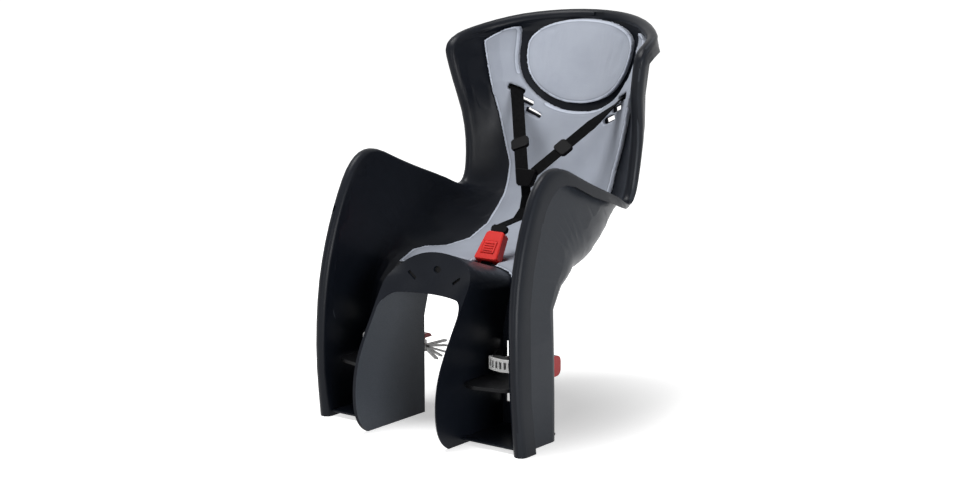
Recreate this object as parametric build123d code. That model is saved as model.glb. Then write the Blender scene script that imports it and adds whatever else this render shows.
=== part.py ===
from build123d import *
from math import atan, cos, pi, radians, sin, tan
import os

os.makedirs("parts", exist_ok=True)

# Rear-mounted child bike seat. Millimetres, +Z up, the child faces -Y, X is the width.

# Shell heights above the lowest edge of the leg guards
pan_height = 271.0
armrest_height = 480.0
notch_height = 381.0
top_height = 714.0
head_plane = top_height - 82
lean_height = top_height - 184

# Shell depths along Y
guard_rear = 20.0
guard_front = -124.0
armrest_y = 16.0
notch_y = 254.0
seat_corner_y = 320.0
wing_front = 249.0

# Half widths of the shell's inner wall
guard_half = 204.0
armrest_half = 192.0
notch_half = 174.0
head_half = 200.0

# Wall, rolled rim and bends of the shell
wall = 4.0
wall_angle = 90.5
rim_radius = 12.0
rim_lip = 28.0
head_lip = 18.0
waterfall_radius = 90.0
seat_bend_radius = 200.0
lean_radius = 300.0
guard_corner_radius = 16.0
bucket_corner_radius = 150.0
centre_flat = 34.0
slope_share = 0.96
nose_facets = 5
corner_facets = 5
roll_tuck = 5.0
roll_inset = 0.9
lower_lean = 12.5
upper_lean = 17.5

# Pommel and wheel tunnel
tunnel_half = 88.0
tunnel_roof = 245.0
tunnel_corner = 26.0
tunnel_reach = 260.0
pommel_height = 317.0
pommel_shoulder = 258.0
pommel_front = -42.0
pommel_slot = (20.0, 60.0, 5.0)
pommel_slot_x = 49.0
pommel_slot_z = pommel_height - 43
pommel_slot_turn = 35.0
quarter_handle = 0.5523

# Channel floors, footrest slots in the calf wall and carrier screw holes in the pan
floor_height = 8.0
floor_front = -100.0
neck_x = 145.0
neck_width = 22.0
neck_gap = 1.0
slot_low = 62.0
slot_high = 178.0
tail_x = 103.0
tail_slot = 9.0
tail_low = slot_low - 10
tail_high = slot_high - 16
screw_hole = 6.6
screw_rows_x = 80.0
screw_rows_y = 36.0
screw_centre_y = 134.0

# Lengths of cuts: past a thin wall, through a wall that slopes, and past the whole shell
cut_over = 5.0
cut_depth = 30.0
cut_through = 800.0

# Harness
web_width = 25.0
web_thickness = 2.0
web_gap = 0.6
harness_slots = [(88.0, head_plane - 113), (107.0, head_plane - 91), (126.0, head_plane - 69)]
harness_slot_width = 31.0
harness_slot_height = 7.0
slot_tilt = 25.0
strap_behind = 16.0
strap_lead = 12.0
strap_rise = 22.0
strap_fall = Vector(4, 0, 10)
strap_end = Vector(14, 221, pan_height + 157)
twist_share = 0.3
lower_width = 21.0
lower_strap_run = [(160.0, 70.0), (190.0, 73.0), (210.0, 89.0), (216.0, 111.0)]
slider_share = 0.645
slider_length = 26.0
slider_height = 8.0
slider_side = 4.5
slider_window = 5.0
anchor_side = 7.0
anchor_depth = 18.0
anchor_height = 3.0
anchor_gap = 3.6
joiner_at = Vector(0, 214, pan_height + 146)
joiner_top = 48.0
joiner_foot = 30.0
joiner_length = 32.0
joiner_height = 12.0
plate_chamfer = 4.0
edge_chamfer = 1.2

# Buckle on the crotch strap
buckle_at = Vector(0, 112, pan_height + 31)
buckle_lean = 36.0
buckle_width = 52.0
buckle_taper = 7.0
buckle_length = 58.0
buckle_thickness = 20.0
buckle_chamfer = 2.0
button_width = 30.0
button_length = 26.0
button_height = 6.0
button_rise = 1.5
button_shift = -4.0
pocket_depth = 8.0
tongue_width = 24.0
tongue_length = 20.0
tongue_thickness = 3.4
tongue_gap = 1.0
tongue_head = (34.0, 15.0, 8.0)
crotch_y = 90.0
crotch_slot = 7.0
crotch_end = 12.0
crotch_anchor_gap = 4.1

# Cushions
pad_gap = 1.7
cushion_thickness = 9.0
cushion_slot_margin = 4.0
crotch_gap_half = 28.0
crotch_gap_front = crotch_y - 40
crotch_gap_rear = crotch_y + 36
peg_size = 9.0
peg_length = 8.6
head_gap = 16.0
head_pad_thickness = 12.0
head_pad_half = 117.0
head_pad_low = head_plane - 91
head_pad_wide = head_plane + 13
head_pad_top = head_plane + 64
head_band_half = 150.0

# Footrests and foot straps
tray_height = 104.0
tray_thickness = 6.0
tray_inner = 95.0
tray_outer = 193.0
tray_front = -116.0
tray_slant = 22.0
tray_nose = 26.0
slide_gap = 0.4
slide_half = 28.0
slide_depth = 8.0
slide_rise = 46.0
post_rise = 40.0
post_length = 22.0
post_chamfer = 6.0
inner_post = (tray_inner + 1, tray_inner + 6.1, -16.0)
outer_post = (tray_outer - 8.6, tray_outer - 3, -30.0)
strap_height = 22.0
strap_thickness = 2.6
ladder_window = (5.0, 40.0, 13.0)
ladder_first = (115.0, -54.0, 138.0)
ladder_pitch = 9.0
ladder_count = 6

# Lock levers on their pins behind the calf wall
pin_radius = 3.0
pin_z = 146.0
pin_out = 6.0
pin_length = 62.0
pin_gap = 0.06
hub_half = 24.0
hub_depth = 10.0
hub_top = pin_z + 6
hub_low = pin_z - 28
neck_top = pin_z + 4
neck_low = pin_z - 26
lever_gap = 10.5
lever_depth = 22.0
lever_top = pin_z - 3
lever_low = pin_z - 40
lever_round = 12.0
lever_start = tail_x + 9
lever_end = tray_outer - 3
wing_start = tail_x - 7
wing_overlap = 2.0
wing_height = 8.0
ear_width = 8.0
ear_gap = 0.8
ear_depth = 6.0
ear_low = pin_z - 12
ear_top = pin_z + 5.2
ear_chamfer = 2.6
x_axis = Vector(1, 0, 0)


def bezier_at(points, t):
    a, b, c, d = points
    u = 1 - t
    return a * u**3 + b * 3 * u * u * t + c * 3 * u * t * t + d * t**3


def bezier_split(points, t):
    """Control points of the first part of a curve, up to the share t."""
    a, b, c, d = points
    ab, bc, cd = a + (b - a) * t, b + (c - b) * t, c + (d - c) * t
    abc, bcd = ab + (bc - ab) * t, bc + (cd - bc) * t
    return [a, ab, abc, abc + (bcd - abc) * t]


def share_at(points, x):
    """Share of a curve at which it reaches the lateral place x."""
    low, high = 0.0, 1.0
    for _ in range(40):
        mid = (low + high) / 2
        low, high = (mid, high) if bezier_at(points, mid).X < x else (low, mid)
    return low


def edge(points):
    return Line(*points).edge() if len(points) == 2 else Bezier(*points).edge()


def flip(p):
    return Vector(-p.X, p.Y)


class Station:
    """A section of the shell in a plane through X: flat, corner, wall and rim, in lateral a and depth w."""

    def __init__(self, length, rim_root, half, corner, lip, upright):
        self.length = length
        self.foot, self.run = spine_at(length)
        reach = rim_root - self.foot
        self.inward = reach.normalized()
        self.flat_wall = wall / abs(self.run.cross(self.inward).X)
        self.slope = radians(wall_angle)
        if not upright:
            self.slope = min(self.slope, slope_share * 2 * atan(reach.length / (half - centre_flat)))
        self.along = Vector(cos(self.slope), sin(self.slope))
        self.out = Vector(sin(self.slope), -cos(self.slope))
        self.root = Vector(half, reach.length)
        self.corner = corner
        self.lip = lip

    def place(self, p):
        return self.foot + x_axis * p.X + self.inward * p.Y

    def face(self, offset, floor):
        """Corner curve and wall end of the face that lies offset outside the child's side."""
        root = self.root + self.out * offset
        meet = root.X - (root.Y - floor) / tan(self.slope)
        reach = (root.Y - floor) / sin(self.slope) - 1.5
        tangent = min((self.corner + offset) * tan(self.slope / 2), meet - centre_flat, reach)
        handle = 4 / 3 * tan(self.slope / 4) * tangent / tan(self.slope / 2)
        start = Vector(meet - tangent, floor)
        end = Vector(meet, floor) + self.along * tangent
        return [start, start + Vector(handle, 0), end - self.along * handle, end], root

    def facets(self, curve):
        """Straight runs along a corner curve."""
        points = [bezier_at(curve, k / corner_facets) for k in range(corner_facets + 1)]
        return [[p, q] for p, q in zip(points, points[1:])]

    def wire(self, runs):
        """Closed wire of a half section's runs, its mirror image and the two flats between them."""
        inner, outer = runs[0][0], runs[-1][-1]
        right = [edge([self.place(p) for p in run]) for run in runs]
        left = [edge([self.place(flip(p)) for p in run[::-1]]) for run in runs[::-1]]
        back = edge([self.place(outer), self.place(flip(outer))])
        front = edge([self.place(flip(inner)), self.place(inner)])
        return Wire([*right, back, *left, front])

    def shell_wire(self, rolled):
        inner, root = self.face(0, 0)
        outer, back_root = self.face(wall, -self.flat_wall)
        rim = rim_runs(root, back_root, self.along, self.out, self.lip) if rolled else [[root, back_root]]
        walls = [[inner[3], root], *rim, [back_root, outer[3]]]
        return self.wire([*self.facets(inner), *walls, *self.facets(outer[::-1])])

    def pad_wire(self, gap, thickness, half):
        """Section of a pad that lies on the child's side, out to a half width."""
        lift = self.flat_wall / wall
        low, _ = self.face(-gap, gap * lift)
        high, _ = self.face(-gap - thickness, (gap + thickness) * lift)
        low = bezier_split(low, share_at(low, half))
        high = bezier_split(high, share_at(high, half - thickness * sin(self.slope) / 2))
        return self.wire([*self.facets(high), [high[3], low[3]], *self.facets(low[::-1])])

    def surface(self, x):
        """Point of the child's side at a lateral place."""
        inner, root = self.face(0, 0)
        if x <= inner[0].X:
            return self.place(Vector(x, 0))
        return self.place(bezier_at(inner, share_at(inner, x)))


def rim_runs(root, back_root, along, out, lip):
    """Edges of the rolled rim from the child's face over the nose to the lip and back inside it."""
    noses = []
    for start, radius in ((root, rim_radius), (back_root, rim_radius - wall)):
        turns = [k * pi / nose_facets for k in range(nose_facets + 1)]
        noses.append([start + out * radius * (1 - cos(a)) + along * radius * sin(a) for a in turns])
    over, under = noses
    tip, tip_back = over[-1] - along * lip, under[-1] - along * lip
    chain = [*over, tip, tip_back, *under[::-1]]
    return [[p, q] for p, q in zip(chain, chain[1:])]


def make_spine():
    """Centre line of the child's side in Y and Z: calf wall, pan, lower back and upper back."""
    seat_corner = Vector(seat_corner_y, pan_height)
    lean_point = seat_corner + Vector(tan(radians(lower_lean)), 1) * (lean_height - pan_height)
    top = lean_point + Vector(tan(radians(upper_lean)), 1) * (top_height - lean_height)
    points = [Vector(guard_rear, 0), Vector(guard_rear, pan_height), seat_corner, lean_point, top]
    return FilletPolyline(*points, radius=[waterfall_radius, seat_bend_radius, lean_radius])


spine = make_spine()
spine_parts = spine.edges()
wall_run, waterfall, pan_run, bend, lower_back, lean_bend, upper_back = range(7)


def along_spine(part, share):
    """Length of the centre line up to a share of one of its parts."""
    return sum(e.length for e in spine_parts[:part]) + share * spine_parts[part].length


def up_spine(z):
    """Length of the centre line up to a height on the upper back."""
    low, high = (spine_parts[upper_back] @ 0).Y, (spine_parts[upper_back] @ 1).Y
    return along_spine(upper_back, (z - low) / (high - low))


def spine_at(length):
    p, t = spine.position_at(length / spine.length), spine.tangent_at(length / spine.length)
    return Vector(0, p.X, p.Y), Vector(0, t.X, t.Y)


def eased(rows, steps):
    """The rows, with more of them in the gaps that have steps, on smooth curves through the given ones."""
    out = []
    for k, count in enumerate(steps):
        around = [rows[min(max(k + d, 0), len(rows) - 1)] for d in (-1, 0, 1, 2)]
        for j in range(count):
            t = j / count
            out.append([spline_between(t, *column) for column in zip(*around)])
    return out + [rows[-1]]


def spline_between(t, a, b, c, d):
    return b + t * (c - a + t * (2 * a - 5 * b + 4 * c - d + t * (3 * (b - c) + d - a))) / 2


# Bucket sections: length along the spine, the rim's nose in Y and Z, half width, corner radius, lip
arm, notch = armrest_height, notch_height
round_back = bucket_corner_radius
wing_foot = notch + 0.564 * (lean_height - notch)
fan = [
    (along_spine(wall_run, 0.0), guard_front + 13, 0, guard_half + 1, guard_corner_radius, rim_lip),
    (along_spine(wall_run, 0.5), guard_front, 0.19 * arm, guard_half, guard_corner_radius, rim_lip),
    (along_spine(wall_run, 1.0), guard_front, 0.37 * arm, guard_half - 2, guard_corner_radius, rim_lip),
    (along_spine(waterfall, 0.35), guard_front + 4, 0.53 * arm, guard_half - 6, 30, rim_lip),
    (along_spine(waterfall, 0.7), guard_front + 19, 0.67 * arm, guard_half - 9, 45, rim_lip),
    (along_spine(waterfall, 1.0), guard_front + 39, 0.79 * arm, armrest_half + 1, 65, rim_lip),
    (along_spine(pan_run, 0.33), guard_front + 67, 0.91 * arm, armrest_half, 80, rim_lip),
    (along_spine(pan_run, 0.67), armrest_y - 30, 0.992 * arm, armrest_half, 85, rim_lip),
    (along_spine(pan_run, 1.0), armrest_y + 24, 0.988 * arm, armrest_half, 90, rim_lip),
    (along_spine(bend, 0.2), armrest_y + 79, 0.933 * arm, armrest_half - 2, 110, rim_lip),
    (along_spine(bend, 0.4), armrest_y + 134, 0.89 * arm, armrest_half - 5, 125, rim_lip),
    (along_spine(bend, 0.55), notch_y - 51, notch + 28, notch_half + 9, 130, rim_lip),
    (along_spine(bend, 0.7), notch_y - 18, notch + 9, notch_half + 3, 145, rim_lip),
    (along_spine(bend, 0.85), notch_y + 4, notch + 6, notch_half, round_back, rim_lip),
    (along_spine(bend, 1.0), notch_y + 17, notch + 34, notch_half, round_back, rim_lip),
    (along_spine(lower_back, 0.5), wing_front + 28, wing_foot, notch_half + 3, round_back, head_lip + 7),
    (along_spine(lean_bend, 0), wing_front + 25, lean_height - 13, notch_half + 8, round_back, head_lip + 4),
    (up_spine(head_plane - 57), wing_front + 8, head_plane - 56, head_half - 12, round_back, head_lip + 2),
    (up_spine(head_plane), wing_front, head_plane, head_half, round_back, head_lip),
]
fan_steps = [1, 1, 1, 1, 1, 1, 2, 2, 1, 1, 1, 2, 2, 2, 1, 1, 1, 1]


def fan_station(length, rim_y, rim_z, half, corner, lip):
    """The rim's root lies a nose radius short of the given nose."""
    foot, _ = spine_at(length)
    nose = Vector(0, rim_y, rim_z)
    root = nose - (nose - foot).normalized() * rim_radius
    return Station(length, root, half, corner, lip, length < along_spine(pan_run, 1))


bucket_stations = [fan_station(*row) for row in eased(fan, fan_steps)]

# Head sections: length along the spine, then the rim's root in X, Y and Z, from the wing to the top
head = [
    (up_spine(head_plane), head_half, wing_front + rim_radius, head_plane),
    (up_spine(head_plane + 18), head_half, wing_front + 18, head_plane + 16),
    (up_spine(head_plane + 29), head_half - 1, wing_front + 36, head_plane + 27),
    (up_spine(head_plane + 40), head_half - 9, wing_front + 70, head_plane + 36),
    (up_spine(head_plane + 51), head_half - 34, wing_front + 103, head_plane + 48),
    (up_spine(head_plane + 61), head_half - 72, wing_front + 137, head_plane + 60),
    (up_spine(head_plane + 66), head_half - 116, wing_front + 163, head_plane + 66),
    (up_spine(head_plane + 69), head_half - 150, wing_front + 175, head_plane + 69),
]
head_stations = [Station(s, Vector(0, y, z), x, round_back, head_lip, False) for s, x, y, z in head]


def flip_x(v):
    return Vector(-v.X, v.Y, v.Z)


def roll_path():
    """Root points of the rim over the head with their outward directions, from right to left."""
    side = []
    for st in head_stations:
        side.append((st.place(st.root), x_axis * st.out.X + st.inward * st.out.Y))
    foot, run = spine_at(up_spine(head_plane + 71))
    middle = (foot, Vector(0, 1, 0))
    return [*side, middle, *[(flip_x(p), flip_x(o)) for p, o in side[::-1]]]


def roll_wire(path, k):
    here, out = path[k]
    run = path[min(k + 1, len(path) - 1)][0] - path[max(k - 1, 0)][0]
    if k in (0, len(path) - 1):
        run = Vector(0, 0, run.Z)
    run = run.normalized()
    along = out.cross(run).normalized()
    out = run.cross(along)
    back_root = here + out * wall
    first = here - along * roll_tuck + out * roll_inset
    last = back_root - along * roll_tuck - out * roll_inset
    runs = [[first, here], *rim_runs(here, back_root, along, out, head_lip), [back_root, last], [last, first]]
    return Wire([edge(r) for r in runs])


# Pommel arches: their place along Y, top and shoulders
pommel_arches = [
    (pommel_front - 170, pommel_height, pommel_shoulder),
    (pommel_front, pommel_height, pommel_shoulder),
    (guard_rear, pommel_height - 21, pommel_shoulder - 8),
    (guard_rear + 50, pan_height + 9, pan_height - 27),
    (guard_rear + 88, pan_height - 3, pan_height - 32),
]

# Front edge of the pommel in Y and Z, at the inner walls and at the middle
side_front = [(-140, 0), (-168, 25), (-178, 75), (-169, 130), (-130, 202), (-104, 245), (-80, 275),
              (-50, 303), (-42, 345)]
centre_front = [(-120, 0), (-135, 25), (-140, 75), (-130, 130), (-90, 202), (-62, 245), (-53, 275),
                (-46, 303), (-41, 345)]


def arch_wire(half, y, top, shoulder):
    lift, spread = quarter_handle * (top - shoulder), quarter_handle * half
    right = [(half, shoulder), (half, shoulder + lift), (spread, top), (0, top)]
    left = [(-x, z) for x, z in right[::-1]]
    foot = [(-half, shoulder), (-half, 0), (half, 0), (half, shoulder)]
    runs = [right, left, foot[:2], foot[1:3], foot[2:]]
    return Wire([edge([Vector(x, y, z) for x, z in run]) for run in runs])


def front_wire(x, points, inset):
    """Side view of the room behind the pommel's front edge, at a lateral place."""
    places = [Vector(x, y + inset, z) for y, z in points]
    rear = [Vector(x, guard_rear + 150, p.Z) for p in (places[-1], places[0])]
    return Wire([Spline(*places).edge(), edge([places[-1], rear[0]]), edge(rear), edge([rear[1], places[0]])])


def make_pommel(inset):
    """Saddle over the wheel tunnel, all its faces moved in by inset."""
    half = tunnel_half + wall - inset
    arches = [arch_wire(half, y, top - inset, shoulder - inset) for y, top, shoulder in pommel_arches]
    side = tunnel_half + 12
    edges = ((-side, side_front), (0, centre_front), (side, side_front))
    fronts = [front_wire(x, points, inset) for x, points in edges]
    return Solid.make_loft(arches, ruled=True) & Solid.make_loft(fronts)


def box(x0, x1, y0, y1, z0, z1):
    return Pos((x0 + x1) / 2, (y0 + y1) / 2, (z0 + z1) / 2) * Box(x1 - x0, y1 - y0, z1 - z0)


def both(part):
    return part + mirror(part, about=Plane.YZ)


def pair(part):
    return [part, mirror(part, about=Plane.YZ)]


def back_point(x, z):
    """Point of the child's side of the back at a lateral place and height."""
    places = [st.surface(x) for st in [*bucket_stations, *head_stations[1:]] if st.foot.Z > notch_height]
    for p, q in zip(places, places[1:]):
        if p.Z <= z <= q.Z:
            return p + (q - p) * ((z - p.Z) / (q.Z - p.Z))


def slot_plane(x, z):
    """Plane on the child's side at a harness slot: x along the slot, z out of the back."""
    reach = harness_slot_width / 3
    rise = reach * tan(radians(slot_tilt))
    across = back_point(x + reach, z + rise) - back_point(x - reach, z - rise)
    return Plane(back_point(x, z), x_dir=across, z_dir=across.cross(Vector(0, -0.2, 1)) * -1)


def harness_cuts(margin):
    cuts = []
    for x, z in harness_slots:
        slot = Box(harness_slot_width + margin, harness_slot_height + margin, 2 * cut_depth)
        cuts += pair(slot_plane(x, z) * slot)
    return cuts


# Square pegs on the back that hold the cushion and the head pad, in X and Z
pegs = [(22.0, (notch_height + lean_height) / 2), (22.0, head_plane - 22)]


def peg_boxes(places, depth):
    peg = Box(peg_size, depth, peg_size)
    return [part for x, z in places for part in pair(Pos(x, back_point(x, z).Y, z) * peg)]


def screw_places(z):
    x, y = screw_rows_x / 2, screw_rows_y / 2
    return [Pos(a, screw_centre_y + b, z) for a in (-x, x) for b in (-y, y)]


def room_under_pan():
    """What lies behind the calf wall and under the pan, across the pommel."""
    low_z, radius = pan_height - waterfall_radius, waterfall_radius - wall
    bend_y, back = guard_rear + waterfall_radius, guard_rear + wall
    side = Pos(bend_y, low_z) * Circle(radius)
    side += make_face(Polyline(
        (back, -cut_over), (back, low_z), (cut_through, low_z), (cut_through, -cut_over), close=True))
    side += Pos(bend_y + cut_through / 2, low_z) * Rectangle(cut_through, 2 * radius)
    return extrude(Plane.YZ * side, amount=tunnel_half + waterfall_radius, both=True)


def wheel_tunnel():
    opening = RectangleRounded(2 * tunnel_half, tunnel_roof + 2 * cut_depth, tunnel_corner)
    return extrude(Plane.XZ * (Pos(0, tunnel_roof / 2 - cut_depth) * opening), amount=tunnel_reach, both=True)


def make_head():
    """Head sheet and the rolled rim over it, joined on one side and mirrored."""
    path = roll_path()
    sheet = Solid.make_loft([st.shell_wire(False) for st in head_stations], ruled=True)
    roll = Solid.make_loft([roll_wire(path, k) for k in range(len(path))], ruled=True)
    halves = [split(part, bisect_by=Plane.YZ, keep=Keep.TOP) for part in (sheet, roll)]
    return both(halves[0] + halves[1])


def wall_slots():
    """Slots of footrest necks and strap tails in the calf wall."""
    front, back = guard_rear - cut_over, guard_rear + wall + cut_over
    half = neck_width / 2 + neck_gap
    neck = box(neck_x - half, neck_x + half, front, back, slot_low, slot_high)
    neck = fillet(neck.edges().filter_by(Axis.Y), neck_width / 4)
    tail = box(tail_x - tail_slot / 2, tail_x + tail_slot / 2, front, back, tail_low, tail_high)
    return pair(neck) + pair(tail)


def make_shell():
    bucket = Solid.make_loft([st.shell_wire(True) for st in bucket_stations], ruled=True)
    saddle = make_pommel(0) - room_under_pan()
    shell = bucket + make_head() + saddle - make_pommel(wall) - wheel_tunnel()
    floor = box(tunnel_half + 1, guard_half, floor_front, guard_rear + 1, floor_height, floor_height + wall)
    shell += both(fillet(floor.edges().filter_by(Axis.X).group_by(Axis.Y)[0], wall * 0.45))
    vent_at = Pos(pommel_slot_x, pommel_front - 15, pommel_slot_z) * Rot(0, -pommel_slot_turn, 0)
    vents = pair(vent_at * Box(*pommel_slot))
    crotch = Pos(0, crotch_y, pan_height) * Box(web_width + wall, crotch_slot, 2 * cut_depth)
    screws = [at * Cylinder(screw_hole / 2, cut_depth) for at in screw_places(pan_height)]
    return shell - [*wall_slots(), crotch, *harness_cuts(0), *peg_boxes(pegs, cut_depth), *screws, *vents]


def limits(rows, length):
    """Half width of a pad at a length along the spine, in straight lines between the rows."""
    for (a, u), (b, v) in zip(rows, rows[1:]):
        if length <= b:
            return u + (v - u) * max(0, (length - a) / (b - a))
    return rows[-1][1]


def make_band(stations, thickness, rows):
    wires = [st.pad_wire(pad_gap, thickness, limits(rows, st.length)) for st in stations]
    return Solid.make_loft(wires, ruled=True)


def front_outline(right_runs):
    """Solid along Y from the right half of a front view outline, given as runs in X and Z."""
    runs = [[Vector(x, 0, z) for x, z in run] for run in right_runs]
    mirrored = [[flip_x(p) for p in run[::-1]] for run in runs[::-1]]
    return extrude(make_face([edge(r) for r in [*runs, *mirrored]]), amount=cut_through, dir=(0, 1, 0))


# Half widths of the cushion at lengths along the spine
cushion_rows = [
    (along_spine(waterfall, 0.7), 174), (along_spine(pan_run, 0), 166), (along_spine(pan_run, 1), 140),
    (along_spine(bend, 0.3), 120), (along_spine(bend, 0.7), 116), (along_spine(bend, 1), 122),
    (along_spine(lower_back, 0.6), 138), (up_spine(head_plane - 87), 154),
    (up_spine(head_plane), 178), (up_spine(head_plane + 60), 186),
]


def make_back_cushion():
    band = make_band([*bucket_stations[4:], *head_stations[1:6]], cushion_thickness, cushion_rows)
    low, wide, above = head_pad_low - head_gap, head_pad_half + head_gap, top_height + cut_depth
    cutout = front_outline([
        [(0, low), (0.64 * wide, low), (wide, head_pad_wide - 68), (wide, head_pad_wide)],
        [(wide, head_pad_wide), (wide + 8, above)],
        [(wide + 8, above), (0, above)],
    ])
    outer, half, foot, top = head_half + 40, head_half - 12, pommel_height / 2, head_plane + 48
    keep = front_outline([
        [(0, foot), (outer, foot)], [(outer, foot), (outer, head_plane - 30)],
        [(outer, head_plane - 30), (half, head_plane - 30)],
        [(half, head_plane - 30), (half, head_plane + 20), (half - 18, top - 6), (wide, top)],
        [(wide, top), (0, top)],
    ])
    crotch_gap = box(-crotch_gap_half, crotch_gap_half, crotch_gap_front, crotch_gap_rear,
                     pan_height - cut_depth, pan_height + cut_depth)
    cuts = [cutout, make_pommel(-pad_gap), crotch_gap, *harness_cuts(cushion_slot_margin)]
    return (band & keep) - cuts + peg_boxes(pegs[:1], peg_length)


def make_head_pad():
    stations = [*bucket_stations[-4:], *head_stations[1:]]
    band = make_band(stations, head_pad_thickness, [(0, head_band_half), (spine.length, head_band_half)])
    half, wide, top, low = head_pad_half, head_pad_wide, head_pad_top, head_pad_low
    egg = front_outline([
        [(0, low), (0.64 * half, low), (half, wide - 60), (half, wide)],
        [(half, wide), (half, wide + 34), (0.55 * half, top), (0, top)],
    ])
    return (band & egg) + peg_boxes(pegs[1:], peg_length)


def webbing(path, width, thickness):
    """Flat band through a path of points, each with the direction of the band's width."""
    wires = []
    for k, (p, across) in enumerate(path):
        run = (path[min(k + 1, len(path) - 1)][0] - path[max(k - 1, 0)][0]).normalized()
        across = (across - run * across.dot(run)).normalized() * width / 2
        lift = run.cross(across).normalized() * thickness / 2
        corners = [p - across - lift, p + across - lift, p + across + lift, p - across + lift]
        wires.append(Wire.make_polygon(corners))
    return Solid.make_loft(wires, ruled=True)


slot_at = slot_plane(*harness_slots[-1])
strap_start = slot_at.origin - slot_at.z_dir * strap_rise - strap_fall


def along_strap(share):
    return strap_start + (strap_end - strap_start) * share


def make_shoulder_strap():
    """Band out of the top slot that turns to face the front on its way to the joiner."""
    across, out = slot_at.x_dir, slot_at.z_dir
    path = [(slot_at.origin + out * strap_behind, across), (slot_at.origin - out * strap_lead, across),
            (strap_start, across), (along_strap(twist_share), x_axis), (strap_end, x_axis)]
    return webbing(path, web_width, web_thickness)


def make_slider():
    run = (strap_end - strap_start).normalized()
    across = x_axis - run * run.X
    plane = Plane(along_strap(slider_share), x_dir=across, z_dir=across.cross(run))
    frame = Box(web_width + 2 * slider_side, slider_length, slider_height)
    frame = chamfer(frame.edges().filter_by(Axis.Z), plate_chamfer)
    frame = chamfer(frame.faces().sort_by(Axis.Z)[-1].edges(), edge_chamfer)
    frame -= Box(web_width + 1, 2 * slider_length, web_thickness + 1)
    window = Box(web_width - 1, slider_window, slider_height - 2)
    middle = slider_length / 4 - 0.5
    return plane * (frame - [Pos(0, y, slider_height / 2) * window for y in (-middle, middle)])


def make_anchor(plane):
    """Slide bar that a strap end is threaded through."""
    bar = Box(web_width + 2 * anchor_side, anchor_depth, anchor_height)
    bar = chamfer(bar.edges().filter_by(Axis.Z), plate_chamfer)
    bar -= Box(web_width + web_gap, web_thickness + web_gap, 2 * anchor_height)
    return plane * Pos(0, 0, anchor_height / 2) * bar


def make_joiner(straps):
    plane = Plane(joiner_at, x_dir=(1, 0, 0), z_dir=(0, -0.97, 0.25))
    top, foot, half = joiner_top / 2, joiner_foot / 2, joiner_length / 2
    plate = make_face(Polyline((-top, half), (top, half), (foot, -half), (-foot, -half), close=True))
    plate = chamfer(plate.vertices(), plate_chamfer)
    block = extrude(plate, amount=joiner_height / 2, both=True)
    block = chamfer(block.faces().sort_by(Axis.Z)[-1].edges(), edge_chamfer)
    return plane * block - straps


buckle_up = Vector(0, sin(radians(buckle_lean)), cos(radians(buckle_lean)))
buckle_plane = Plane(buckle_at, x_dir=(1, 0, 0), z_dir=x_axis.cross(buckle_up))
buckle_half = buckle_length / 2


def make_buckle_body():
    half, neck = buckle_width / 2, buckle_width / 2 - buckle_taper
    corners = (-neck, buckle_half), (neck, buckle_half), (half, -buckle_half), (-half, -buckle_half)
    outline = chamfer(make_face(Polyline(*corners, close=True)).vertices(), plate_chamfer)
    body = extrude(outline, amount=buckle_thickness / 2, both=True)
    body = chamfer(body.faces().filter_by(Axis.Z).edges(), buckle_chamfer)
    body -= Pos(0, button_shift, buckle_thickness / 2) * Box(button_width, button_length, 2 * pocket_depth)
    mouth = Box(tongue_width + tongue_gap, 1.5 * tongue_length, tongue_thickness + tongue_gap)
    body -= Pos(0, buckle_half - 8, 0) * mouth
    body -= Pos(0, 4 - buckle_half, 0) * Box(web_width + slide_gap, 18, web_thickness + slide_gap)
    return buckle_plane * body


def make_button():
    cap = Box(button_width - 1, button_length - 1, button_height)
    cap = chamfer(cap.faces().sort_by(Axis.Z)[-1].edges(), edge_chamfer)
    return buckle_plane * Pos(0, button_shift, buckle_thickness / 2 - button_rise) * cap


def make_tongue():
    _, head_length, _ = tongue_head
    blade = Pos(0, buckle_half - 6, 0) * Box(tongue_width, tongue_length, tongue_thickness)
    head = Pos(0, buckle_half + head_length / 2 + 0.5, 0) * Box(*tongue_head)
    head = chamfer(head.edges().filter_by(Axis.Z), plate_chamfer)
    slot = Box(lower_width + web_gap, head_length - 3, web_thickness + web_gap)
    return buckle_plane * (blade + head - Pos(0, buckle_half + head_length - 3, 0) * slot)


def make_lower_strap():
    points = [buckle_at + buckle_up * (buckle_half + 7), buckle_at + buckle_up * (buckle_half + 16),
              *[Vector(0, y, pan_height + rise) for y, rise in lower_strap_run],
              joiner_at - Vector(0, 1, 8)]
    return webbing([(p, x_axis) for p in points], lower_width, web_thickness)


# Underside of the pommel's skin where the crotch strap goes through, on its slope to the pan
skin_y, skin_top, _ = pommel_arches[3]
skin_slope = (skin_top - pommel_arches[4][1]) / (pommel_arches[4][0] - skin_y)
crotch_plane = Plane((0, crotch_y, skin_top - wall - skin_slope * (crotch_y - skin_y)),
                     x_dir=(1, 0, 0), z_dir=(0, skin_slope, 1))


def make_crotch_strap():
    hole, out = crotch_plane.origin, crotch_plane.z_dir
    points = [buckle_at - buckle_up * (buckle_half - 9), buckle_at - buckle_up * (buckle_half + 1),
              hole + out * (wall + 1), hole - out * crotch_end]
    return webbing([(p, x_axis) for p in points], web_width, web_thickness)


def pin_hole(radius, length):
    return Pos(neck_x, guard_rear + wall + pin_out, pin_z) * Rot(0, 90, 0) * Cylinder(radius, length)


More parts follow.
